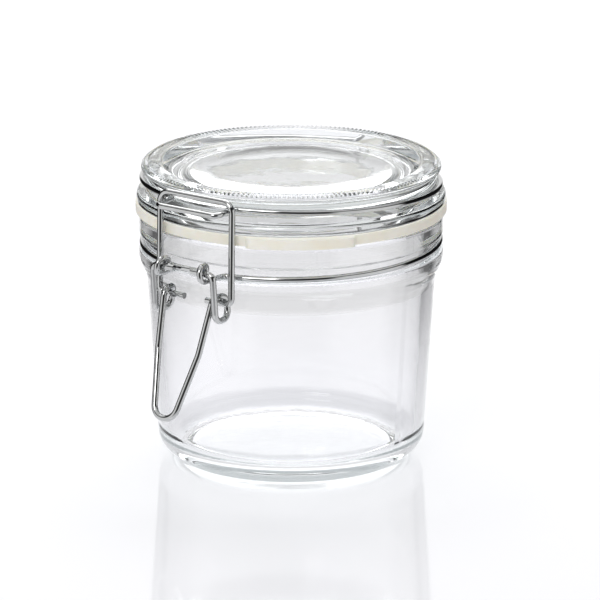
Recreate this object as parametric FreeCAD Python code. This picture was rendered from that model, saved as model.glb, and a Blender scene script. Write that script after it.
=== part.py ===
import FreeCAD, Part
import math
import os

# A clip-top preserving jar, in millimetres.
# The origin is the centre of the foot, +Z is up, the clasp faces -Y and the hinge is at +Y.
# Every hinge axis runs along X. Each round piece is a revolve about Z, and each wire is swept
# in one run along straight stretches and tangent bends that are given for +X and mirrored.

V = FreeCAD.Vector

# --- Glass jar: the collar's radius and the rim's height drive the rest ---
COLLAR_RADIUS = 47.0
RIM_HEIGHT = 77.7
FINISH_STEP = 0.1
FINISH_HEIGHT = 7.7
FINISH_SLOPE = 0.9
NECK_GROOVE_HEIGHT = 4.0
COLLAR_HEIGHT = 3.0
SHOULDER_HEIGHT = 6.0
SHOULDER_STEP = 2.5
WALL_TAPER = 3.4
HEEL_HEIGHT = 4.4
HEEL_STEP = 5.6
FOOT_WIDTH = 4.5
PUNT_HEIGHT = 1.6
FOOT_INNER_ROUND = 1.0
FOOT_ROUND = 2.0
HEEL_ROUND = 6.5
SHOULDER_ROUND = 9.0
COLLAR_ROUND = 3.2
EDGE_ROUND = 0.7
GROOVE_ROUND = 0.35
RIM_OUTER_ROUND = 1.9
RIM_INNER_ROUND = 1.2

# --- Inside of the jar ---
RIM_WALL = 6.0
MOUTH_DEPTH = 17.0
WALL_THICKNESS = 3.2
FLOOR_THICKNESS = 3.0
MOUTH_FOOT_ROUND = 20.0
INNER_HEEL_ROUND = 6.0

# --- Rubber ring ---
GASKET_OVERHANG = 1.0
GASKET_MOUTH_STEP = 0.6
GASKET_THICKNESS = 3.0
GASKET_ROUND = 0.6
SEAL_GAP = 0.05
TAB_LENGTH = 2.6
TAB_CENTRE_ANGLE = -49.5
TAB_HALF_ANGLE = 20.0
TAB_ROUND = 2.4

# --- Glass lid ---
LID_HEIGHT = 12.4
FLANGE_OVERHANG = 0.7
FLANGE_THICKNESS = 3.6
FLANGE_FALL = 0.5
FLANGE_ROUND = 1.1
LID_GROOVE_TOP = 9.9
BEAD_STEP = 0.7
BEAD_TOP_WIDTH = 1.7
BEAD_TOP_FALL = 1.2
BEAD_ROUND = 0.8
LID_RIM_WIDTH = 7.4
LID_RIM_FALL = 0.3
LID_RIM_ROUND = 1.6
RECESS_DEPTH = 2.8
RECESS_ROUND = 2.2
DISC_INSET = 5.2
DISC_STEP = 0.5
LID_THICKNESS = 4.2
PLUG_CLEARANCE = 0.6
PLUG_DEPTH = 4.6
PLUG_TAPER = 2.1
PLUG_WALL = 3.7
PLUG_INNER_TAPER = 2.2
PLUG_ROUND = 1.2
LID_HOLLOW_ROUND = 3.0

# --- Wires ---
RING_WIRE_RADIUS = 0.9
CLASP_WIRE_RADIUS = 1.0
WIRE_SEAT = 0.1
WIRE_SINK = 1.0
NECK_WIRE_RISE = 0.8
LID_WIRE_SINK = 0.3
LID_WIRE_HEIGHT = 6.25
LID_WIRE_RISE = -1.6

# --- Rear hinge ---
HINGE_GAP = 0.24
HINGE_RUN_CLEARANCE = 0.06
HINGE_HALF_WIDTH = 7.0
HINGE_BAR_HALF_WIDTH = 10.8
HINGE_BAR_BEND = 1.6
HINGE_BAR_FLARE = 4.9
HINGE_LEG_LEAD = 1.8
HINGE_LEG_BEND = 2.2
HOOK_TURN = 285.0

# --- Eyes of the neck wire, which carry the lever ---
LEVER_STAND_OFF = 8.5
LEVER_PIVOT_RISE = 1.8
EYE_HALF_SPACING = 7.9
EYE_PLAY = 0.35
EYE_PITCH = 0.6
EYE_CROSSING_DROP = 0.2
EYE_CROSSING_BEND = 1.15
NECK_WIRE_LEAD = 1.85

# --- Bail ---
LOOP_TUCK = 1.76
BAIL_PIVOT_DROP = 10.2
BAIL_HALF_WIDTH = 13.7
BAIL_CORNER = 3.2
BAIL_FOOT_BEND = 2.0
BAIL_STUB_END = 4.2
BAR_CLEARANCE = 0.4
BAR_LIFT = 0.55

# --- Lever and handle ---
PIVOT_CLEARANCE = 0.06
CRANK_SIDE_GAP = 0.3
CRANK_REACH = 4.8
CRANK_TOP_BEND = 1.6
LEVER_PIN_END = 3.3
LOOP_GAP = 0.1
LOOP_DROP = 2.8
LOOP_BOTTOM_BEND = 3.0
LOOP_SHIFT = 0.7
HANDLE_STAND_OFF = 3.26
HANDLE_TOP_BEND = 2.4
HANDLE_LENGTH = 38.5
HANDLE_LEAN = 19.4
HANDLE_KNEE = 18.0
HANDLE_KNEE_INSET = 1.6
HANDLE_SWAY = 0.7
HANDLE_KNEE_ROUND = 16.0
HANDLE_TIP_HALF_WIDTH = 3.6
HANDLE_TIP_ROUND = 4.2

# --- Front tongue of the lid wire ---
TONGUE_REACH = 5.2
TONGUE_DROOP = 0.9
TONGUE_SIDE_GAP = 0.3
TONGUE_CORNER = 2.3
TONGUE_ROOT_BEND = 1.9
TONGUE_LEAD = 2.0

# Radii and heights that follow from the sizes above.
FINISH_RADIUS = COLLAR_RADIUS - FINISH_STEP
WALL_TOP_RADIUS = COLLAR_RADIUS - SHOULDER_STEP
HEEL_RADIUS = WALL_TOP_RADIUS - WALL_TAPER
FOOT_RADIUS = HEEL_RADIUS - HEEL_STEP
FOOT_INNER_RADIUS = FOOT_RADIUS - FOOT_WIDTH
MOUTH_RADIUS = COLLAR_RADIUS - RIM_WALL
NECK_GROOVE_TOP = RIM_HEIGHT - FINISH_HEIGHT
NECK_GROOVE_BOTTOM = NECK_GROOVE_TOP - NECK_GROOVE_HEIGHT
COLLAR_BOTTOM = NECK_GROOVE_BOTTOM - COLLAR_HEIGHT
WALL_TOP_HEIGHT = COLLAR_BOTTOM - SHOULDER_HEIGHT
GASKET_OUTER_RADIUS = COLLAR_RADIUS + GASKET_OVERHANG
GASKET_INNER_RADIUS = MOUTH_RADIUS + GASKET_MOUTH_STEP
GASKET_BOTTOM = RIM_HEIGHT + SEAL_GAP
LID_BASE = GASKET_BOTTOM + GASKET_THICKNESS
FLANGE_RADIUS = COLLAR_RADIUS + FLANGE_OVERHANG
BEAD_RADIUS = COLLAR_RADIUS - BEAD_STEP
RIM_EDGE_RADIUS = BEAD_RADIUS - BEAD_TOP_WIDTH
RECESS_RADIUS = RIM_EDGE_RADIUS - LID_RIM_WIDTH
DISC_RADIUS = RECESS_RADIUS - DISC_INSET
PLUG_TOP_RADIUS = MOUTH_RADIUS - PLUG_CLEARANCE
PLUG_BOTTOM_RADIUS = PLUG_TOP_RADIUS - PLUG_TAPER
PLUG_INNER_RADIUS = PLUG_BOTTOM_RADIUS - PLUG_WALL
LID_HOLLOW_RADIUS = PLUG_INNER_RADIUS - PLUG_INNER_TAPER

# Places of the wires and of the three hinge axes.
NECK_RING_RADIUS = COLLAR_RADIUS - WIRE_SINK
NECK_GROOVE_RADIUS = NECK_RING_RADIUS - RING_WIRE_RADIUS - WIRE_SEAT
NECK_WIRE_HEIGHT = NECK_GROOVE_BOTTOM + NECK_GROOVE_HEIGHT / 2
NECK_TILT = math.degrees(math.asin(NECK_WIRE_RISE / NECK_RING_RADIUS))
LID_RING_RADIUS = BEAD_RADIUS - LID_WIRE_SINK
LID_GROOVE_RADIUS = LID_RING_RADIUS - RING_WIRE_RADIUS - WIRE_SEAT
LID_WIRE_LEVEL = LID_BASE + LID_WIRE_HEIGHT
LID_TILT = math.degrees(math.asin(LID_WIRE_RISE / LID_RING_RADIUS))
HOOK_RADIUS = 2 * RING_WIRE_RADIUS + HINGE_RUN_CLEARANCE
HINGE_Y = COLLAR_RADIUS + HOOK_RADIUS + RING_WIRE_RADIUS + HINGE_GAP
HINGE_Z = NECK_WIRE_HEIGHT + NECK_WIRE_RISE
LEVER_PIVOT_Y = -NECK_RING_RADIUS - LEVER_STAND_OFF
LEVER_PIVOT_Z = NECK_WIRE_HEIGHT + LEVER_PIVOT_RISE
BAIL_PIVOT_Y = -COLLAR_RADIUS - 3 * CLASP_WIRE_RADIUS - PIVOT_CLEARANCE + LOOP_TUCK
BAIL_PIVOT_Z = LEVER_PIVOT_Z - BAIL_PIVOT_DROP
BAR_Y = -BEAD_RADIUS - CLASP_WIRE_RADIUS - BAR_CLEARANCE
CRANK_SIDE = BAIL_HALF_WIDTH - 2 * CLASP_WIRE_RADIUS - CRANK_SIDE_GAP
TONGUE_Y = BAR_Y - TONGUE_REACH
TONGUE_SIDE = BAIL_HALF_WIDTH - CLASP_WIRE_RADIUS - RING_WIRE_RADIUS - TONGUE_SIDE_GAP


def line(a, b):
    return Part.LineSegment(a, b).toShape()


def tangent_arc(before, corner, after, radius):
    """Start, middle and end of the arc that rounds a corner between two neighbouring points."""
    back = (before - corner).normalize()
    ahead = (after - corner).normalize()
    half = back.getAngle(ahead) / 2
    reach = radius / math.tan(half)
    middle = corner + (back + ahead).normalize() * (radius / math.sin(half) - radius)
    return corner + back * reach, middle, corner + ahead * reach


def rounded_run(points, rounds):
    """Edges of an open polyline whose inner corners become tangent arcs of the given radii."""
    edges = []
    here = points[0]
    for before, corner, after, radius in zip(points, points[1:], points[2:], rounds):
        start, middle, end = tangent_arc(before, corner, after, radius)
        if (start - here).Length > 1e-6:
            edges.append(line(here, start))
        edges.append(Part.Arc(start, middle, end).toShape())
        here = end
    if (points[-1] - here).Length > 1e-6:
        edges.append(line(here, points[-1]))
    return edges


def round_wire(half, radius):
    """Round wire swept along a path of lines and tangent arcs, given for +X, and its mirror image."""
    other = [edge.mirror(V(0, 0, 0), V(1, 0, 0)) for edge in half]
    path = Part.Wire(Part.sortEdges(half + other)[0])
    first = path.OrderedEdges[0]
    start = path.OrderedVertexes[0].Point
    at_start = (first.valueAt(first.FirstParameter) - start).Length < 1e-6
    direction = first.tangentAt(first.FirstParameter if at_start else first.LastParameter)
    section = Part.Wire([Part.Circle(start, direction, radius).toShape()])
    wire = path.makePipeShell([section], True, True)
    expected = math.pi * radius ** 2 * path.Length
    if abs(wire.Volume / expected - 1) > 0.01:
        raise ValueError("swept wire has volume %.2f, expected %.2f" % (wire.Volume, expected))
    return wire


def revolved(outline):
    """Solid of revolution about Z from a closed outline of (radius, height, round) corners."""
    corners = [V(r, 0, z) for r, z, _ in outline]
    ends = []
    for index, (_, _, radius) in enumerate(outline):
        corner = corners[index]
        if radius:
            following = corners[(index + 1) % len(corners)]
            ends.append(tangent_arc(corners[index - 1], corner, following, radius))
        else:
            ends.append((corner, None, corner))
    edges = []
    for index, (start, middle, end) in enumerate(ends):
        if middle is not None:
            edges.append(Part.Arc(start, middle, end).toShape())
        following = ends[(index + 1) % len(ends)][0]
        if (following - end).Length > 1e-6:
            edges.append(line(end, following))
    return Part.Face(Part.Wire(edges)).revolve(V(0, 0, 0), V(0, 0, 1), 360)


def ring_angle(x, radius):
    """Angle, in degrees from +X, of the point of a ring that lies at x."""
    return math.degrees(math.acos(x / radius))


def ring_point(radius, height, tilt, angle):
    """Point on a ring that is tilted about X."""
    flat = V(radius * math.cos(math.radians(angle)), radius * math.sin(math.radians(angle)), 0)
    return FreeCAD.Rotation(V(1, 0, 0), tilt).multVec(flat) + V(0, 0, height)


def ring_tangent(tilt, angle):
    """Direction of travel on that ring, for a growing angle."""
    flat = V(-math.sin(math.radians(angle)), math.cos(math.radians(angle)), 0)
    return FreeCAD.Rotation(V(1, 0, 0), tilt).multVec(flat)


def ring_arc(radius, height, tilt, first, last):
    """Arc edge of that ring between two angles."""
    angles = (first, (first + last) / 2, last)
    return Part.Arc(*[ring_point(radius, height, tilt, angle) for angle in angles]).toShape()


def jar_glass():
    wall_slope = WALL_TAPER / (WALL_TOP_HEIGHT - HEEL_HEIGHT)
    floor = PUNT_HEIGHT + FLOOR_THICKNESS
    inner_wall_foot = HEEL_RADIUS - WALL_THICKNESS + wall_slope * (floor - HEEL_HEIGHT)
    return revolved([
        (0, PUNT_HEIGHT, 0),
        (FOOT_INNER_RADIUS, PUNT_HEIGHT, FOOT_INNER_ROUND),
        (FOOT_INNER_RADIUS + PUNT_HEIGHT, 0, 0),
        (FOOT_RADIUS, 0, FOOT_ROUND),
        (HEEL_RADIUS, HEEL_HEIGHT, HEEL_ROUND),
        (WALL_TOP_RADIUS, WALL_TOP_HEIGHT, SHOULDER_ROUND),
        (COLLAR_RADIUS, COLLAR_BOTTOM, COLLAR_ROUND),
        (COLLAR_RADIUS, NECK_GROOVE_BOTTOM, EDGE_ROUND),
        (NECK_GROOVE_RADIUS, NECK_GROOVE_BOTTOM, GROOVE_ROUND),
        (NECK_GROOVE_RADIUS, NECK_GROOVE_TOP, GROOVE_ROUND),
        (FINISH_RADIUS, NECK_GROOVE_TOP + FINISH_SLOPE, EDGE_ROUND),
        (FINISH_RADIUS, RIM_HEIGHT, RIM_OUTER_ROUND),
        (MOUTH_RADIUS, RIM_HEIGHT, RIM_INNER_ROUND),
        (MOUTH_RADIUS, RIM_HEIGHT - MOUTH_DEPTH, MOUTH_FOOT_ROUND),
        (inner_wall_foot, floor, INNER_HEEL_ROUND),
        (0, floor, 0),
    ])


def lid_glass():
    top = LID_BASE + LID_HEIGHT
    flange_top = LID_BASE + FLANGE_THICKNESS
    groove_top = LID_BASE + LID_GROOVE_TOP
    recess = top - RECESS_DEPTH
    underside = recess - LID_THICKNESS
    plug_end = LID_BASE - PLUG_DEPTH
    return revolved([
        (0, recess + DISC_STEP, 0),
        (DISC_RADIUS, recess + DISC_STEP, 0),
        (DISC_RADIUS + 2 * DISC_STEP, recess, DISC_STEP),
        (RECESS_RADIUS, recess, RECESS_ROUND),
        (RECESS_RADIUS + RECESS_DEPTH, top - LID_RIM_FALL, LID_RIM_ROUND),
        (RIM_EDGE_RADIUS, top, 0),
        (BEAD_RADIUS, top - BEAD_TOP_FALL, BEAD_ROUND),
        (BEAD_RADIUS, groove_top, BEAD_ROUND),
        (LID_GROOVE_RADIUS, groove_top, 0),
        (LID_GROOVE_RADIUS, flange_top, GROOVE_ROUND),
        (FLANGE_RADIUS, flange_top - FLANGE_FALL, FLANGE_ROUND),
        (FLANGE_RADIUS, LID_BASE, EDGE_ROUND),
        (PLUG_TOP_RADIUS, LID_BASE, 0),
        (PLUG_BOTTOM_RADIUS, plug_end, PLUG_ROUND),
        (PLUG_INNER_RADIUS, plug_end, PLUG_ROUND),
        (LID_HOLLOW_RADIUS, underside, LID_HOLLOW_ROUND),
        (0, underside, 0),
    ])


def gasket():
    up = V(0, 0, 1)
    base = V(0, 0, GASKET_BOTTOM)
    tab_radius = GASKET_OUTER_RADIUS + TAB_LENGTH
    ring = Part.makeCylinder(GASKET_OUTER_RADIUS, GASKET_THICKNESS, base)
    hole = Part.makeCylinder(GASKET_INNER_RADIUS, GASKET_THICKNESS, base)
    tab = Part.makeCylinder(tab_radius, GASKET_THICKNESS, base, up, 2 * TAB_HALF_ANGLE)
    tab.rotate(V(0, 0, 0), up, TAB_CENTRE_ANGLE - TAB_HALF_ANGLE)
    corners = [
        edge
        for edge in tab.Edges
        if abs(edge.tangentAt(edge.FirstParameter).z) > 0.5
        and math.hypot(edge.CenterOfMass.x, edge.CenterOfMass.y) > GASKET_OUTER_RADIUS
    ]
    body = ring.fuse(tab.makeFillet(TAB_ROUND, corners)).removeSplitter().cut(hole)
    bore_edges = [
        edge
        for edge in body.Edges
        if isinstance(edge.Curve, Part.Circle) and abs(edge.Curve.Radius - GASKET_INNER_RADIUS) < 1e-3
    ]
    return body.makeFillet(GASKET_ROUND, bore_edges)


def neck_wire():
    """Ring round the neck, two eyes at the front for the lever, and the hinge bar at the rear."""
    eye = CLASP_WIRE_RADIUS + EYE_PLAY + RING_WIRE_RADIUS
    eye_bend = eye - WIRE_SEAT
    back_y = LEVER_PIVOT_Y + eye
    front_y = LEVER_PIVOT_Y - eye
    top = LEVER_PIVOT_Z + eye
    bottom = LEVER_PIVOT_Z - eye
    crossing_z = LEVER_PIVOT_Z - EYE_CROSSING_DROP
    inner = EYE_HALF_SPACING - EYE_PITCH
    outer = EYE_HALF_SPACING + EYE_PITCH
    leave = -ring_angle(outer + NECK_WIRE_LEAD, NECK_RING_RADIUS)
    arrive = ring_angle(HINGE_BAR_HALF_WIDTH + HINGE_BAR_FLARE, NECK_RING_RADIUS)
    start = ring_point(NECK_RING_RADIUS, NECK_WIRE_HEIGHT, NECK_TILT, leave)
    end = ring_point(NECK_RING_RADIUS, NECK_WIRE_HEIGHT, NECK_TILT, arrive)
    front = rounded_run(
        [
            V(0, back_y, crossing_z),
            V(inner, back_y, crossing_z),
            V(inner, back_y, top),
            V(EYE_HALF_SPACING, front_y, top),
            V(outer, front_y, bottom),
            start - ring_tangent(NECK_TILT, leave) * NECK_WIRE_LEAD,
            start,
        ],
        [EYE_CROSSING_BEND, EYE_CROSSING_BEND, eye_bend, eye_bend, NECK_WIRE_LEAD],
    )
    rear = rounded_run(
        [
            end,
            end + ring_tangent(NECK_TILT, arrive) * NECK_WIRE_LEAD,
            V(HINGE_BAR_HALF_WIDTH, HINGE_Y, HINGE_Z),
            V(0, HINGE_Y, HINGE_Z),
        ],
        [NECK_WIRE_LEAD, HINGE_BAR_BEND],
    )
    ring = ring_arc(NECK_RING_RADIUS, NECK_WIRE_HEIGHT, NECK_TILT, leave, arrive)
    return round_wire(front + [ring] + rear, RING_WIRE_RADIUS)


def tongue_point(x, y):
    """Point of the front tongue, in the tilted plane of the lid wire."""
    return FreeCAD.Rotation(V(1, 0, 0), LID_TILT).multVec(V(x, y, 0)) + V(0, 0, LID_WIRE_LEVEL)


def lid_wire():
    """Ring round the lid, the tongue that the bail presses on, and two hooks round the hinge bar."""
    leave = -ring_angle(TONGUE_SIDE + TONGUE_LEAD, LID_RING_RADIUS)
    arrive = ring_angle(HINGE_HALF_WIDTH + HINGE_LEG_LEAD, LID_RING_RADIUS)
    start = ring_point(LID_RING_RADIUS, LID_WIRE_LEVEL, LID_TILT, leave)
    end = ring_point(LID_RING_RADIUS, LID_WIRE_LEVEL, LID_TILT, arrive)
    droop = V(0, 0, TONGUE_DROOP)
    front = rounded_run(
        [
            tongue_point(0, TONGUE_Y) - droop,
            tongue_point(TONGUE_SIDE, TONGUE_Y) - droop,
            start - ring_tangent(LID_TILT, leave) * TONGUE_LEAD,
            start,
        ],
        [TONGUE_CORNER, TONGUE_ROOT_BEND],
    )
    foot = V(HINGE_HALF_WIDTH, HINGE_Y + HOOK_RADIUS, HINGE_Z)
    shoulder = V(foot.x, foot.y, end.z)
    rear = rounded_run(
        [end, end + ring_tangent(LID_TILT, arrive) * HINGE_LEG_LEAD, shoulder, foot],
        [HINGE_LEG_LEAD, HINGE_LEG_BEND],
    )
    axle = V(HINGE_HALF_WIDTH, HINGE_Y, HINGE_Z)
    turns = (FreeCAD.Rotation(V(-1, 0, 0), HOOK_TURN * part) for part in (0, 0.5, 1))
    curl = Part.Arc(*[turn.multVec(foot - axle) + axle for turn in turns]).toShape()
    ring = ring_arc(LID_RING_RADIUS, LID_WIRE_LEVEL, LID_TILT, leave, arrive)
    return round_wire(front + [ring] + rear + [curl], RING_WIRE_RADIUS)


def lever_wire():
    """Handle, a loop round each stub of the bail, two crank arms and the pins in the eyes."""
    loop = 2 * CLASP_WIRE_RADIUS + PIVOT_CLEARANCE
    loop_bend = loop * 0.96
    inner_y = BAIL_PIVOT_Y + loop
    crank_y = BAIL_PIVOT_Y - CRANK_REACH
    handle_y = BAIL_PIVOT_Y - HANDLE_STAND_OFF
    loop_top = BAIL_PIVOT_Z + loop
    loop_bottom = BAIL_PIVOT_Z - loop - LOOP_DROP
    leg = CRANK_SIDE - 2 * CLASP_WIRE_RADIUS - LOOP_GAP
    lean = math.radians(HANDLE_LEAN)

    def handle_point(x, along, sway=0.0):
        outward = along * math.sin(lean) - sway
        return V(x, handle_y - outward, loop_top - along * math.cos(lean))

    path = rounded_run(
        [
            handle_point(0, HANDLE_LENGTH),
            handle_point(HANDLE_TIP_HALF_WIDTH, HANDLE_LENGTH),
            handle_point(leg - HANDLE_KNEE_INSET, HANDLE_KNEE, HANDLE_SWAY),
            handle_point(leg, 0),
            V(leg + LOOP_SHIFT, inner_y, loop_top),
            V(CRANK_SIDE - LOOP_SHIFT / 2, inner_y, loop_bottom),
            V(CRANK_SIDE, crank_y, loop_bottom),
            V(CRANK_SIDE, LEVER_PIVOT_Y, LEVER_PIVOT_Z),
            V(LEVER_PIN_END, LEVER_PIVOT_Y, LEVER_PIVOT_Z),
        ],
        [
            HANDLE_TIP_ROUND,
            HANDLE_KNEE_ROUND,
            HANDLE_TOP_BEND,
            loop_bend,
            LOOP_BOTTOM_BEND,
            LOOP_BOTTOM_BEND,
            CRANK_TOP_BEND,
        ],
    )
    return round_wire(path, CLASP_WIRE_RADIUS)


def bail_wire():
    """Bar over the tongue, two legs, and the stubs that the lever's loops turn on."""
    bar_z = tongue_point(0, BAR_Y).z + RING_WIRE_RADIUS + CLASP_WIRE_RADIUS + BAR_LIFT
    path = rounded_run(
        [
            V(0, BAR_Y, bar_z),
            V(BAIL_HALF_WIDTH, BAR_Y, bar_z),
            V(BAIL_HALF_WIDTH, BAIL_PIVOT_Y, BAIL_PIVOT_Z),
            V(BAIL_STUB_END, BAIL_PIVOT_Y, BAIL_PIVOT_Z),
        ],
        [BAIL_CORNER, BAIL_FOOT_BEND],
    )
    return round_wire(path, CLASP_WIRE_RADIUS)


PARTS = {
    "jar_glass": jar_glass,
    "neck_wire": neck_wire,
    "lid_glass": lid_glass,
    "lid_wire": lid_wire,
    "gasket": gasket,
    "lever_wire": lever_wire,
    "bail_wire": bail_wire,
}

os.makedirs("parts", exist_ok=True)
for name, make in PARTS.items():
    shape = make()
    shape.exportStep("parts/%s.step" % name)
    print(name, "solids", len(shape.Solids), "volume", round(shape.Volume, 1), "valid", shape.isValid())
print("lid hinge", HINGE_Y, HINGE_Z, "lever pivot", LEVER_PIVOT_Y, LEVER_PIVOT_Z)
print("bail pivot", BAIL_PIVOT_Y, BAIL_PIVOT_Z)
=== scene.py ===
# %% [markdown]
# # A clip-top glass jar
# The jar is pressed glass, closed by a glass lid on a rubber ring, and a sprung wire clasp holds
# it shut. The measured model is loaded first, and everything after this stands on its sizes.
# Glass and steel show little colour of their own, so most of this lesson is about edges,
# surfaces and what the light around them looks like.

# %% Load the measured model
import bpy
import math
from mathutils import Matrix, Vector


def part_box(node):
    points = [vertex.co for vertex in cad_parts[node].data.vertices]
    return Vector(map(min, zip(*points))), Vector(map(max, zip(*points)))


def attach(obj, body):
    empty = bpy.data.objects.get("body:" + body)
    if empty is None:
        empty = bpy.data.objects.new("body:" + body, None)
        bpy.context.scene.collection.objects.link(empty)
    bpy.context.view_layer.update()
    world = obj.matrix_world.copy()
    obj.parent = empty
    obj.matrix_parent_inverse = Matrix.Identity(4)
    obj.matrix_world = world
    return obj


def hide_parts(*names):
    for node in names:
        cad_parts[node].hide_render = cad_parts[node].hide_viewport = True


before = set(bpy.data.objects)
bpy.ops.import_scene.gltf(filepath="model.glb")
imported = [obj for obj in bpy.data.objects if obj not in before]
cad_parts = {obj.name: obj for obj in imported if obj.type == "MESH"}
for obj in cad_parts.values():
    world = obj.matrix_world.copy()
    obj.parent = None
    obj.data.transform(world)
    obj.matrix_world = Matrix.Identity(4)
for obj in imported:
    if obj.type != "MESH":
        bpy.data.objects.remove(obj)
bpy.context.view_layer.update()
print("nodes:", sorted(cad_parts))

# %% [markdown]
# ## Small helpers
# Three things come back all the time: a length in millimetres, a colour picked in sRGB, and a
# shader node with its settings and links. Each gets one small function.

# %% Helpers
MM = 0.001


def linear(hex_colour):
    """Linear RGBA of an sRGB colour written as #RRGGBB."""
    channels = [int(hex_colour[i:i + 2], 16) / 255 for i in (1, 3, 5)]
    return [c / 12.92 if c <= 0.04045 else ((c + 0.055) / 1.055) ** 2.4 for c in channels] + [1.0]


def add_node(tree, kind, values=None, links=None, **settings):
    """Add a node, set its properties and sockets, and link outputs of other nodes into it."""
    node = tree.nodes.new(kind)
    for name, value in settings.items():
        setattr(node, name, value)
    for socket, value in (values or {}).items():
        node.inputs[socket].default_value = value
    for socket, source in (links or {}).items():
        tree.links.new(source, node.inputs[socket])
    return node


def new_material(name):
    """An empty node material with its output node."""
    material = bpy.data.materials.new(name)
    material.use_nodes = True
    material.node_tree.nodes.clear()
    return material, material.node_tree, add_node(material.node_tree, "ShaderNodeOutputMaterial")


def dress(piece, material):
    """Give every face of a piece one material."""
    piece.data.materials.clear()
    piece.data.materials.append(material)


# %% [markdown]
# ## Pressed soda-lime glass
# The jar and lid are pressed: molten glass is pushed into an iron mould. That leaves a surface
# that is smooth but gently uneven, so reflections and the view through a wall swim a little.
# The iron in cheap sand tints thick glass a faint grey-green, which only shows where the eye
# looks a long way through it, at the rims and the heel. A Principled shader with full
# transmission gives the surface, and absorption inside the solid gives the tint.
# Glass also casts a pale shadow. A refracting shader alone would block the lamps, so shadow
# and diffuse rays see a nearly clear sheet instead. So does light that has been mirrored to and
# fro inside the foot a few times, which real glass would let out again in the end. The lid is
# given a slightly greyer glass than the jar as painted shade, only so that its rim and its sunk
# middle don't render as plain white. A real lid and jar are most likely the same glass.

# %% Glass material
GLASS_IOR = 1.52
MOULD_WAVE_MM = 9.0
WAVE_DEPTH_MM = 0.4
WAVE_STRENGTH = 0.12
MOULD_GRAIN_MM = 1.4
GRAIN_DEPTH_MM = 0.1
GRAIN_STRENGTH = 0.03
JAR_GLASS_COLOUR = "#FDFDFE"
# Painted shade: the lid's glass is greyed only so that it doesn't render plain white.
LID_PAINTED_SHADE_COLOUR = "#F4F5F6"
IRON_TINT = "#D8DBDC"
IRON_TINT_DENSITY = 5.0
CLEAR_SHEET = "#FAFBFB"
RELEASED_LIGHT = "#F0F2F2"
INNER_MIRRORINGS = 2.5


def pressed_glass(name, colour):
    """Clear glass with the gentle unevenness that an iron mould leaves."""
    material, tree, output = new_material(name)
    place = add_node(tree, "ShaderNodeTexCoord").outputs["Object"]
    wave = add_node(tree, "ShaderNodeTexNoise",
                    {"Scale": 1 / (MOULD_WAVE_MM * MM), "Detail": 1.0}, {"Vector": place})
    grain = add_node(tree, "ShaderNodeTexNoise",
                     {"Scale": 1 / (MOULD_GRAIN_MM * MM), "Detail": 2.0}, {"Vector": place})
    swell = add_node(tree, "ShaderNodeBump",
                     {"Strength": WAVE_STRENGTH, "Distance": WAVE_DEPTH_MM * MM},
                     {"Height": wave.outputs["Fac"]})
    skin = add_node(tree, "ShaderNodeBump",
                    {"Strength": GRAIN_STRENGTH, "Distance": GRAIN_DEPTH_MM * MM},
                    {"Height": grain.outputs["Fac"], "Normal": swell.outputs["Normal"]})
    surface = add_node(tree, "ShaderNodeBsdfPrincipled",
                       {"Base Color": linear(colour), "Roughness": 0.0, "IOR": GLASS_IOR,
                        "Transmission Weight": 1.0},
                       {"Normal": skin.outputs["Normal"]})
    clear = add_node(tree, "ShaderNodeBsdfTransparent", {"Color": linear(CLEAR_SHEET)})
    path = add_node(tree, "ShaderNodeLightPath")
    soft = add_node(tree, "ShaderNodeMath", operation="MAXIMUM",
                    links={0: path.outputs["Is Shadow Ray"], 1: path.outputs["Is Diffuse Ray"]})
    trapped = add_node(tree, "ShaderNodeMath", {1: INNER_MIRRORINGS},
                       {0: path.outputs["Glossy Depth"]}, operation="GREATER_THAN")
    open_sheet = add_node(tree, "ShaderNodeMixShader",
                          links={0: soft.outputs[0], 1: surface.outputs[0], 2: clear.outputs[0]})
    released = add_node(tree, "ShaderNodeBsdfTransparent", {"Color": linear(RELEASED_LIGHT)})
    mix = add_node(tree, "ShaderNodeMixShader",
                   links={0: trapped.outputs[0], 1: open_sheet.outputs[0],
                          2: released.outputs[0]})
    inside = add_node(tree, "ShaderNodeVolumeAbsorption",
                      {"Color": linear(IRON_TINT), "Density": IRON_TINT_DENSITY})
    tree.links.new(mix.outputs[0], output.inputs["Surface"])
    tree.links.new(inside.outputs[0], output.inputs["Volume"])
    return material


jar_glass = pressed_glass("soda_lime_glass_pressed", JAR_GLASS_COLOUR)
# The lid gets the greyer glass as painted shade, not as a glass of its own.
lid_glass = pressed_glass("soda_lime_glass_pressed_lid_painted_shade", LID_PAINTED_SHADE_COLOUR)
print("glass:", jar_glass.name, lid_glass.name)

# %% [markdown]
# ## Drawn stainless wire
# The clasp and both rings are bright drawn wire. Pulling it through a die leaves very fine
# lengthwise scratches, and handling leaves a few duller patches, so the highlight is sharp
# but not quite a mirror. Fine noise in the roughness and a very shallow bump are enough.

# %% Steel material
DIE_MARK_MM = 0.25
DIE_MARK_DEPTH_MM = 0.05
DIE_MARK_STRENGTH = 0.06
DULL_PATCH_MM = 6.0
POLISHED_ROUGHNESS = 0.05
HANDLED_ROUGHNESS = 0.12
PATCH_EDGES = (0.3, 0.7)
STEEL_DARK = "#B3B4B4"
STEEL_LIGHT = "#D2D3D3"


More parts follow.
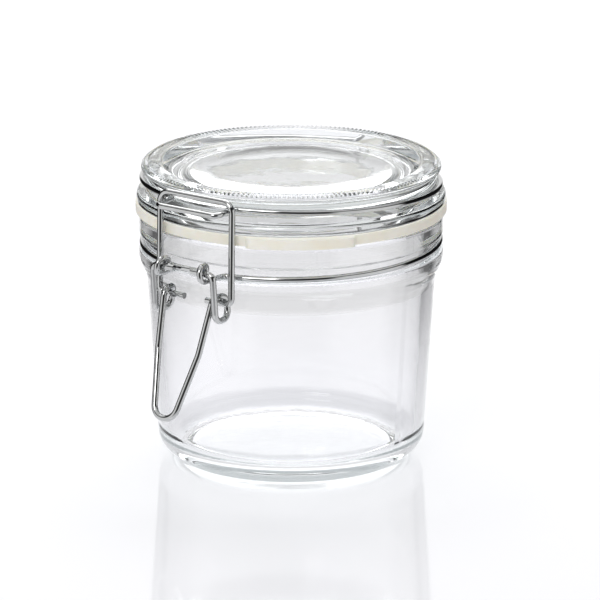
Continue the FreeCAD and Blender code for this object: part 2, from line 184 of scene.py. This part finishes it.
def drawn_steel():
    """Bright drawn wire with faint die marks and a few duller patches."""
    material, tree, output = new_material("stainless_steel_drawn")
    place = add_node(tree, "ShaderNodeTexCoord").outputs["Object"]
    patches = add_node(tree, "ShaderNodeTexNoise",
                       {"Scale": 1 / (DULL_PATCH_MM * MM), "Detail": 3.0}, {"Vector": place})
    gloss = add_node(tree, "ShaderNodeMapRange",
                     {"From Min": PATCH_EDGES[0], "From Max": PATCH_EDGES[1],
                      "To Min": POLISHED_ROUGHNESS, "To Max": HANDLED_ROUGHNESS},
                     {"Value": patches.outputs["Fac"]})
    marks = add_node(tree, "ShaderNodeTexNoise",
                     {"Scale": 1 / (DIE_MARK_MM * MM), "Detail": 2.0}, {"Vector": place})
    bump = add_node(tree, "ShaderNodeBump",
                    {"Strength": DIE_MARK_STRENGTH, "Distance": DIE_MARK_DEPTH_MM * MM},
                    {"Height": marks.outputs["Fac"]})
    shade = add_node(tree, "ShaderNodeValToRGB", links={"Fac": patches.outputs["Fac"]})
    shade.color_ramp.elements[0].color = linear(STEEL_DARK)
    shade.color_ramp.elements[1].color = linear(STEEL_LIGHT)
    surface = add_node(tree, "ShaderNodeBsdfPrincipled", {"Metallic": 1.0},
                       {"Base Color": shade.outputs["Color"], "Roughness": gloss.outputs["Result"],
                        "Normal": bump.outputs["Normal"]})
    tree.links.new(surface.outputs[0], output.inputs["Surface"])
    return material


steel = drawn_steel()
for wire in ("neck_wire", "lid_wire", "lever_wire", "bail_wire"):
    dress(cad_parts[wire], steel)
print("steel:", steel.name)

# %% [markdown]
# ## Moulded rubber ring
# The seal is soft cream rubber, pressed in a mould and dusted so that it doesn't stick. It is
# matt, a little see-through at its edges, and faintly mottled. Subsurface scattering makes the
# thin edges glow softly in the way that rubber does and paint doesn't.

# %% Rubber material
DUST_MM = 0.5
DUST_DEPTH_MM = 0.06
DUST_STRENGTH = 0.15
MOTTLE_MM = 7.0
MOTTLE_EDGES = (0.3, 0.7)
RUBBER_DARK = "#F6F0E0"
RUBBER_LIGHT = "#FBF8EE"
RUBBER_ROUGHNESS = 0.55
RUBBER_IOR = 1.5
GLOW_SHARE = 0.25
GLOW_DEPTH_MM = 1.5
GLOW_REACH = (1.0, 0.8, 0.5)


def cream_rubber():
    """Matt, dusted rubber that glows a little at its thin edges."""
    material, tree, output = new_material("natural_rubber_moulded")
    place = add_node(tree, "ShaderNodeTexCoord").outputs["Object"]
    mottle = add_node(tree, "ShaderNodeTexNoise",
                      {"Scale": 1 / (MOTTLE_MM * MM), "Detail": 4.0}, {"Vector": place})
    colour = add_node(tree, "ShaderNodeValToRGB", links={"Fac": mottle.outputs["Fac"]})
    colour.color_ramp.elements[0].position = MOTTLE_EDGES[0]
    colour.color_ramp.elements[0].color = linear(RUBBER_DARK)
    colour.color_ramp.elements[1].position = MOTTLE_EDGES[1]
    colour.color_ramp.elements[1].color = linear(RUBBER_LIGHT)
    dust = add_node(tree, "ShaderNodeTexNoise",
                    {"Scale": 1 / (DUST_MM * MM), "Detail": 3.0}, {"Vector": place})
    bump = add_node(tree, "ShaderNodeBump",
                    {"Strength": DUST_STRENGTH, "Distance": DUST_DEPTH_MM * MM},
                    {"Height": dust.outputs["Fac"]})
    surface = add_node(tree, "ShaderNodeBsdfPrincipled",
                       {"Roughness": RUBBER_ROUGHNESS, "IOR": RUBBER_IOR,
                        "Subsurface Weight": GLOW_SHARE,
                        "Subsurface Scale": GLOW_DEPTH_MM * MM, "Subsurface Radius": GLOW_REACH},
                       {"Base Color": colour.outputs["Color"], "Normal": bump.outputs["Normal"]})
    tree.links.new(surface.outputs[0], output.inputs["Surface"])
    return material


rubber = cream_rubber()
dress(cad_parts["gasket"], rubber)
print("rubber:", rubber.name)

# %% [markdown]
# ## The jar
# The measured jar is a plain revolve with the right walls, so it stays and only gets its glass.

# %% Dress the jar
dress(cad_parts["jar_glass"], jar_glass)
print("jar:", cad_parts["jar_glass"].name)

# %% [markdown]
# ## The lid, with its milled edge
# The lid is one pressed disc: a wide rim, a sunk middle with a low raised disc, and a plug
# underneath that centres it in the mouth. Its top edge is milled with about 190 short ribs, so
# that wet fingers can grip it. A spun outline can't carry ribs, so here a ring of vertices is
# extruded from station to station down the outline, as if the lid were raised on a wheel. The
# corners are rounded, and every rib is a pair of neighbouring vertices. A film of air a few
# hundredths of a millimetre thick stays between the lid and the rubber, as it does on dry
# glass, so that the flange mirrors the room and doesn't turn the colour of the rubber.

# %% Sizes of the lid
lid_low, lid_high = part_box("lid_glass")
LID_TOP = lid_high.z
FLANGE_RADIUS = lid_high.x
PLUG_END = lid_low.z
RIBS = 190
STEPS_PER_RIB = 4
RIB_HEIGHT = 0.55 * MM
RIB_RING_DROP = 0.25 * MM
RIB_FOOT_DROP = 0.7 * MM
SEAL_FILM = 0.03 * MM
PLUG_DEPTH = 4.6 * MM
FLANGE_RISE = 8.2 * MM
GROOVE_RISE = 14.5 * MM
BASE = PLUG_END + PLUG_DEPTH + SEAL_FILM
FLANGE_TOP = PLUG_END + FLANGE_RISE
GROOVE_TOP = PLUG_END + GROOVE_RISE
GROOVE_RADIUS = FLANGE_RADIUS - 2.7 * MM
BEAD_RADIUS = FLANGE_RADIUS - 1.4 * MM
BEAD_DROP = 1.2 * MM
BEAD_ROUND = 0.8 * MM
EDGE_RADIUS = BEAD_RADIUS - 1.7 * MM
RECESS_RADIUS = EDGE_RADIUS - 7.4 * MM
RECESS = LID_TOP - 2.8 * MM
RECESS_ROUND = 2.2 * MM
SLOPE_WIDTH = 2.8 * MM
SLOPE_DROP = 0.3 * MM
SLOPE_ROUND = 1.6 * MM
DISC_RADIUS = RECESS_RADIUS - 5.2 * MM
DISC = RECESS + 0.5 * MM
DISC_SLOPE = 1.0 * MM
UNDERSIDE = RECESS - 4.2 * MM
UNDERSIDE_ROUND = 3.0 * MM
FLANGE_DROP = 0.5 * MM
FLANGE_UPPER_ROUND = 1.1 * MM
FLANGE_LOWER_ROUND = 0.7 * MM
GROOVE_ROUND = 0.35 * MM
PLUG_TOP_RADIUS = FLANGE_RADIUS - 7.3 * MM
PLUG_RADIUS = PLUG_TOP_RADIUS - 2.1 * MM
PLUG_INNER_RADIUS = PLUG_RADIUS - 3.7 * MM
PLUG_ROUND = 1.2 * MM
HOLLOW_RADIUS = PLUG_INNER_RADIUS - 2.2 * MM
RIB_RING = EDGE_RADIUS + 0.35 * MM
RIB_FOOT = EDGE_RADIUS + 1.0 * MM
# Each station is a radius, a height and the radius of the round at that corner.
stations = [
    (DISC_RADIUS, DISC, 0),
    (DISC_RADIUS + DISC_SLOPE, RECESS, 0),
    (RECESS_RADIUS, RECESS, RECESS_ROUND),
    (RECESS_RADIUS + SLOPE_WIDTH, LID_TOP - SLOPE_DROP, SLOPE_ROUND),
    (EDGE_RADIUS, LID_TOP, 0),
    (RIB_RING, LID_TOP - RIB_RING_DROP, 0),
    (RIB_FOOT, LID_TOP - RIB_FOOT_DROP, 0),
    (BEAD_RADIUS, LID_TOP - BEAD_DROP, BEAD_ROUND),
    (BEAD_RADIUS, GROOVE_TOP, BEAD_ROUND),
    (GROOVE_RADIUS, GROOVE_TOP, 0),
    (GROOVE_RADIUS, FLANGE_TOP, GROOVE_ROUND),
    (FLANGE_RADIUS, FLANGE_TOP - FLANGE_DROP, FLANGE_UPPER_ROUND),
    (FLANGE_RADIUS, BASE, FLANGE_LOWER_ROUND),
    (PLUG_TOP_RADIUS, BASE, 0),
    (PLUG_RADIUS, PLUG_END, PLUG_ROUND),
    (PLUG_INNER_RADIUS, PLUG_END, PLUG_ROUND),
    (HOLLOW_RADIUS, UNDERSIDE, UNDERSIDE_ROUND),
]
print("lid stations:", len(stations))

# %% [markdown]
# The rounds are true arcs, so each is replaced by a few stations on its circle before the rings
# are made. That keeps the outline exact and costs only a handful of rings.

# %% Round the corners of the outline
ARC_STEPS = 6


def with_rounds(outline):
    """The outline with each rounded corner replaced by points on its tangent arc."""
    finished = []
    for index, (radius, height, bend) in enumerate(outline):
        corner = Vector((radius, height))
        if not bend:
            finished.append(corner)
            continue
        before = (Vector(outline[index - 1][:2]) - corner).normalized()
        following = outline[index + 1][:2] if index + 1 < len(outline) else (0, height)
        after = (Vector(following) - corner).normalized()
        half = before.angle(after) / 2
        centre = corner + (before + after).normalized() * (bend / math.sin(half))
        start = corner + before * (bend / math.tan(half)) - centre
        end = corner + after * (bend / math.tan(half)) - centre
        for step in range(ARC_STEPS + 1):
            share = step / ARC_STEPS
            turn = math.pi - 2 * half
            spoke = start * math.sin((1 - share) * turn) + end * math.sin(share * turn)
            finished.append(centre + spoke / math.sin(turn))
    return finished


lid_outline = with_rounds(stations)
print("rings in the lid:", len(lid_outline))

# %% [markdown]
# The wall starts as one circle at the raised disc. Each further station is the same ring again,
# extruded straight down or up and then scaled to its new radius.

# %% Raise the lid ring by ring
bpy.ops.object.select_all(action="DESELECT")
first = lid_outline[0]
bpy.ops.mesh.primitive_circle_add(vertices=RIBS * STEPS_PER_RIB, radius=first.x,
                                  fill_type="NOTHING", location=(0, 0, first.y))
lid = bpy.context.object
lid.name = "lid_glass_milled"
bpy.ops.object.transform_apply(location=True)
bpy.ops.object.mode_set(mode="EDIT")
bpy.ops.mesh.select_all(action="SELECT")
for before, after in zip(lid_outline, lid_outline[1:]):
    bpy.ops.mesh.extrude_edges_move(TRANSFORM_OT_translate={"value": (0, 0, after.y - before.y)})
    factor = after.x / before.x
    bpy.ops.transform.resize(value=(factor, factor, 1), center_override=(0, 0, after.y))
print("lid wall:", len(lid.data.vertices), "vertices before the caps")

# %% [markdown]
# Two open rings are left, at the raised disc on top and at the hollow below. Each is closed by
# insetting it a few times towards the middle, so that the caps keep round, even quads.

# %% Close the top and the underside
CAP_SHARES = (0.75, 0.5, 0.25, 0.05)
WELD_GAP = 0.001 * MM


def close_cap(piece, ring_index, height):
    """Close one open ring with smaller and smaller rings, merged at the centre."""
    bpy.ops.mesh.select_all(action="DESELECT")
    bpy.ops.object.mode_set(mode="OBJECT")
    count = RIBS * STEPS_PER_RIB
    for vertex in piece.data.vertices[ring_index * count:(ring_index + 1) * count]:
        vertex.select = True
    bpy.ops.object.mode_set(mode="EDIT")
    last = 1.0
    for share in CAP_SHARES:
        bpy.ops.mesh.extrude_edges_move()
        bpy.ops.transform.resize(value=(share / last, share / last, 1),
                                 center_override=(0, 0, height))
        last = share
    bpy.ops.mesh.extrude_edges_move()
    bpy.ops.mesh.merge(type="CENTER")


bpy.ops.mesh.select_mode(type="VERT")
close_cap(lid, len(lid_outline) - 1, lid_outline[-1].y)
close_cap(lid, 0, lid_outline[0].y)
bpy.ops.mesh.select_all(action="SELECT")
bpy.ops.mesh.remove_doubles(threshold=WELD_GAP)
bpy.ops.mesh.normals_make_consistent(inside=False)
bpy.ops.object.mode_set(mode="OBJECT")
print("lid:", len(lid.data.polygons), "faces")

# %% [markdown]
# The ribs come last. Two of every four vertices round the edge move in and down a little, which
# cuts a row of small rounded notches without adding a face. The teeth are what is left between.

# %% Mill the edge
EDGE_MARGIN = 0.1 * MM
EDGE_DEPTH = 0.4 * MM
SHARPEST_SMOOTH_CORNER = math.radians(40)
bpy.ops.object.mode_set(mode="EDIT")
bpy.ops.mesh.select_all(action="DESELECT")
bpy.ops.object.mode_set(mode="OBJECT")
for vertex in lid.data.vertices:
    radius = math.hypot(vertex.co.x, vertex.co.y)
    turn = math.atan2(vertex.co.y, vertex.co.x) / (2 * math.pi) * RIBS * STEPS_PER_RIB
    on_ring = EDGE_RADIUS - EDGE_MARGIN < radius < RIB_FOOT - EDGE_MARGIN
    on_edge = on_ring and vertex.co.z > LID_TOP - EDGE_DEPTH
    vertex.select = on_edge and round(turn) % STEPS_PER_RIB in (0, 1)
ribbed = sum(vertex.select for vertex in lid.data.vertices)
bpy.ops.object.mode_set(mode="EDIT")
shrink = 1 - RIB_HEIGHT / EDGE_RADIUS
bpy.ops.transform.resize(value=(shrink, shrink, 1), center_override=(0, 0, LID_TOP))
bpy.ops.transform.translate(value=(0, 0, -RIB_HEIGHT))
bpy.ops.object.mode_set(mode="OBJECT")
bpy.ops.object.shade_smooth_by_angle(angle=SHARPEST_SMOOTH_CORNER)
dress(lid, lid_glass)
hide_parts("lid_glass")
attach(lid, "lid")
print("rib vertices moved:", ribbed)

# %% [markdown]
# ## Floor
# A pale glossy table with a soft mirror of the jar in it. A little emission brings it up to the
# white of the surroundings. Where it is seen through the glass it carries painted light, brighter
# within 3 cm of the jar's middle and fading out by 4.4 cm, and faint painted shade further out.
# The wires are polished enough to mirror a whole room, so for reflected rays the table fades out
# between 6 and 32 cm from the jar, and the tent's panels show beyond it.

# %% Floor
FLOOR_SIZE = 12.0
FLOOR_COLOUR = "#F3F3F7"
FLOOR_ROUGHNESS = 0.08
LACQUER_IOR = 1.5
# The glow below is even; the two values after it are painted light and painted shade through
# glass.
FLOOR_GLOW = 0.16
PAINTED_SHADE_THROUGH_GLASS = -0.03
PAINTED_LIGHT_UNDER_JAR = 0.32
PAINTED_LIGHT_RADII = (0.030, 0.044)
MIRRORED_TABLE = (0.06, 0.32)


def table_top():
    """White lacquer with painted light under the jar, whose glow and mirrored reach depend on the
    ray.
    """
    material, tree, output = new_material("lacquered_board_white")
    path = add_node(tree, "ShaderNodeLightPath")
    place = add_node(tree, "ShaderNodeTexCoord").outputs["Object"]
    away = add_node(tree, "ShaderNodeVectorMath", links={0: place}, operation="LENGTH")
    # Painted light and shade: rays through the glass see the table brighter under the jar, darker
    # beyond.
    painted_light_pool = add_node(tree, "ShaderNodeMapRange",
                     {"From Min": PAINTED_LIGHT_RADII[0], "From Max": PAINTED_LIGHT_RADII[1],
                      "To Min": PAINTED_LIGHT_UNDER_JAR, "To Max": PAINTED_SHADE_THROUGH_GLASS},
                     {"Value": away.outputs["Value"]}, interpolation_type="SMOOTHSTEP")
    glow = add_node(tree, "ShaderNodeMath", {2: FLOOR_GLOW},
                    {0: path.outputs["Is Transmission Ray"], 1: painted_light_pool.outputs[0]},
                    operation="MULTIPLY_ADD")
    surface = add_node(tree, "ShaderNodeBsdfPrincipled",
                       {"Base Color": linear(FLOOR_COLOUR), "Roughness": FLOOR_ROUGHNESS,
                        "IOR": LACQUER_IOR, "Emission Color": linear("#FFFFFF")},
                       {"Emission Strength": glow.outputs[0]})
    beyond = add_node(tree, "ShaderNodeMapRange",
                      {"From Min": MIRRORED_TABLE[0], "From Max": MIRRORED_TABLE[1]},
                      {"Value": away.outputs["Value"]}, interpolation_type="SMOOTHSTEP")
    hidden = add_node(tree, "ShaderNodeMath", operation="MULTIPLY",
                      links={0: beyond.outputs[0], 1: path.outputs["Is Glossy Ray"]})
    gone = add_node(tree, "ShaderNodeBsdfTransparent")
    mix = add_node(tree, "ShaderNodeMixShader",
                   links={0: hidden.outputs[0], 1: surface.outputs[0], 2: gone.outputs[0]})
    tree.links.new(mix.outputs[0], output.inputs["Surface"])
    return material


bpy.ops.object.select_all(action="DESELECT")
bpy.ops.mesh.primitive_plane_add(size=FLOOR_SIZE, location=(0, 0, 0))
floor = bpy.context.object
floor.name = "floor"
dress(floor, table_top())
print("floor:", FLOOR_SIZE, "m square")

# %% [markdown]
# ## Studio
# Glass is drawn by what it bends into view. White all round would leave nothing to see, so the
# tent has a white backdrop behind the jar, a dark gap on each side of it, a bright panel on
# the left and right, and a dim side where the camera stands. The walls fade to grey before
# the bright roof, which shades the slopes of the lid. The gaps draw thin dark lines along the
# edges of the glass and down the wires. Soft light comes at one even level from all round, and
# the camera itself sees plain white.

# %% Surroundings
TENT_LIGHT = 0.46
BACKDROP = (-0.60, 0.80, 0.0)
# Heights are the upward part of a direction: 0 at the horizon and 1 straight overhead.
UPPER_WALL_GREY = 0.05
UPPER_WALL_HEIGHTS = (0.30, 0.38)
ROOF_LIGHT = 0.80
ROOF_HEIGHTS = (0.58, 0.74)
# Each stop is a place from the camera's side (0) round to the backdrop (1), and a grey there.
MIRRORED = [(0.0, 0.04), (0.06, 0.04), (0.11, 0.95), (0.50, 1.0), (0.55, 0.01),
            (0.965, 0.01), (0.985, 1.0)]
THROUGH_GLASS = [(0.0, 0.80), (0.50, 1.0), (0.57, 0.35), (0.90, 0.12), (0.965, 0.78)]


def grey_ramp(tree, share, stops):
    """Colour ramp over the way from the camera's side to the backdrop."""
    node = add_node(tree, "ShaderNodeValToRGB", links={"Fac": share.outputs[0]})
    ramp = node.color_ramp
    while len(ramp.elements) < len(stops):
        ramp.elements.new(0.5)
    for element, (place, grey) in zip(ramp.elements, stops):
        element.position = place
        element.color = (grey, grey, grey, 1)
    return node


def white_tent():
    """World that is plain white to the camera and a tent with dark gaps to sharp rays."""
    world = bpy.data.worlds.new("white_tent")
    world.use_nodes = True
    tree = world.node_tree
    tree.nodes.clear()
    output = add_node(tree, "ShaderNodeOutputWorld")
    direction = add_node(tree, "ShaderNodeTexCoord").outputs["Generated"]
    level_way = add_node(tree, "ShaderNodeVectorMath", {1: (1, 1, 0)}, {0: direction},
                         operation="MULTIPLY")
    way = add_node(tree, "ShaderNodeVectorMath", links={0: level_way.outputs[0]},
                   operation="NORMALIZE")
    facing = add_node(tree, "ShaderNodeVectorMath", {1: BACKDROP}, {0: way.outputs[0]},
                      operation="DOT_PRODUCT")
    share = add_node(tree, "ShaderNodeMapRange", {"From Min": -1.0, "From Max": 1.0},
                     {"Value": facing.outputs["Value"]})
    mirrored = grey_ramp(tree, share, MIRRORED)
    through = grey_ramp(tree, share, THROUGH_GLASS)
    path = add_node(tree, "ShaderNodeLightPath")
    walls = add_node(tree, "ShaderNodeMix", data_type="FLOAT",
                     links={"Factor": path.outputs["Is Transmission Ray"],
                            "A": mirrored.outputs["Color"], "B": through.outputs["Color"]})
    height = add_node(tree, "ShaderNodeSeparateXYZ", links={0: direction})
    roof = add_node(tree, "ShaderNodeMapRange",
                    {"From Min": ROOF_HEIGHTS[0], "From Max": ROOF_HEIGHTS[1],
                     "To Max": ROOF_LIGHT},
                    {"Value": height.outputs["Z"]}, interpolation_type="SMOOTHSTEP")
    dusk = add_node(tree, "ShaderNodeMapRange",
                    {"From Min": UPPER_WALL_HEIGHTS[0], "From Max": UPPER_WALL_HEIGHTS[1],
                     "To Min": 1.0, "To Max": UPPER_WALL_GREY},
                    {"Value": height.outputs["Z"]}, interpolation_type="SMOOTHSTEP")
    shaded = add_node(tree, "ShaderNodeMath", operation="MULTIPLY",
                      links={0: walls.outputs[0], 1: dusk.outputs[0]})
    lit = add_node(tree, "ShaderNodeMath", operation="MAXIMUM",
                   links={0: shaded.outputs[0], 1: roof.outputs[0]})
    sharp = add_node(tree, "ShaderNodeMath", operation="MAXIMUM",
                     links={0: path.outputs["Is Glossy Ray"],
                            1: path.outputs["Is Transmission Ray"]})
    ambient = add_node(tree, "ShaderNodeMix", {"A": TENT_LIGHT},
                       {"Factor": sharp.outputs[0], "B": lit.outputs[0]}, data_type="FLOAT")
    level = add_node(tree, "ShaderNodeMath", operation="MAXIMUM",
                     links={0: ambient.outputs[0], 1: path.outputs["Is Camera Ray"]})
    backdrop = add_node(tree, "ShaderNodeBackground", {"Color": linear("#FFFFFF")},
                        {"Strength": level.outputs[0]})
    tree.links.new(backdrop.outputs[0], output.inputs["Surface"])
    return world


bpy.context.scene.world = white_tent()
print("world:", bpy.context.scene.world.name)

# %% [markdown]
# Two soft boxes finish the light. The main one hangs high behind the jar, so the shadow falls
# towards the camera. It is kept out of the view through the glass, where it would burn the lid
# out to white. A weaker one in front keeps the rubber and the wires open.

# %% Lamps
AIM_HEIGHT = 48 * MM
AIM = Vector((0, 0, AIM_HEIGHT))
KEY_PLACE = Vector((-0.50, 0.67, 1.05))
KEY_SIZE = 1.0
KEY_WATTS = 9.0
FILL_PLACE = Vector((0.20, -1.10, 0.90))
FILL_SIZE = 0.6
FILL_WATTS = 5.5


def soft_box(name, place, size, watts):
    """Square area lamp at a place, turned to face the middle of the jar."""
    light = bpy.data.lights.new(name, "AREA")
    light.shape = "SQUARE"
    light.size = size
    light.energy = watts
    lamp = bpy.data.objects.new(name, light)
    bpy.context.scene.collection.objects.link(lamp)
    lamp.location = place
    lamp.rotation_euler = (AIM - lamp.location).to_track_quat("-Z", "Y").to_euler()
    return lamp


key = soft_box("key", KEY_PLACE, KEY_SIZE, KEY_WATTS)
key.visible_transmission = False
fill = soft_box("fill", FILL_PLACE, FILL_SIZE, FILL_WATTS)
print("lamps:", key.name, fill.name)

# %% [markdown]
# ## Camera
# The jar is seen from some way off with a long lens, a little above its lid and from the right
# of the clasp, which keeps its walls nearly parallel.

# %% Camera
AZIMUTH = math.radians(37.0)
ELEVATION = math.radians(15.6)
DISTANCE = 2.0
LENS_MM = 387.3
SENSOR_MM = 36.0
FRAME_SHIFT = (0.0147, 0.001)
camera_data = bpy.data.cameras.new("camera")
camera_data.lens = LENS_MM
camera_data.sensor_width = SENSOR_MM
camera_data.shift_x, camera_data.shift_y = FRAME_SHIFT
camera = bpy.data.objects.new("camera", camera_data)
bpy.context.scene.collection.objects.link(camera)
back = Vector((math.sin(AZIMUTH) * math.cos(ELEVATION),
               -math.cos(AZIMUTH) * math.cos(ELEVATION),
               math.sin(ELEVATION)))
camera.location = AIM + DISTANCE * back
camera.rotation_euler = back.to_track_quat("Z", "Y").to_euler()
bpy.context.scene.camera = camera
bpy.context.scene.view_settings.view_transform = "Standard"
print("camera:", round(camera.location.length, 3), "m away")
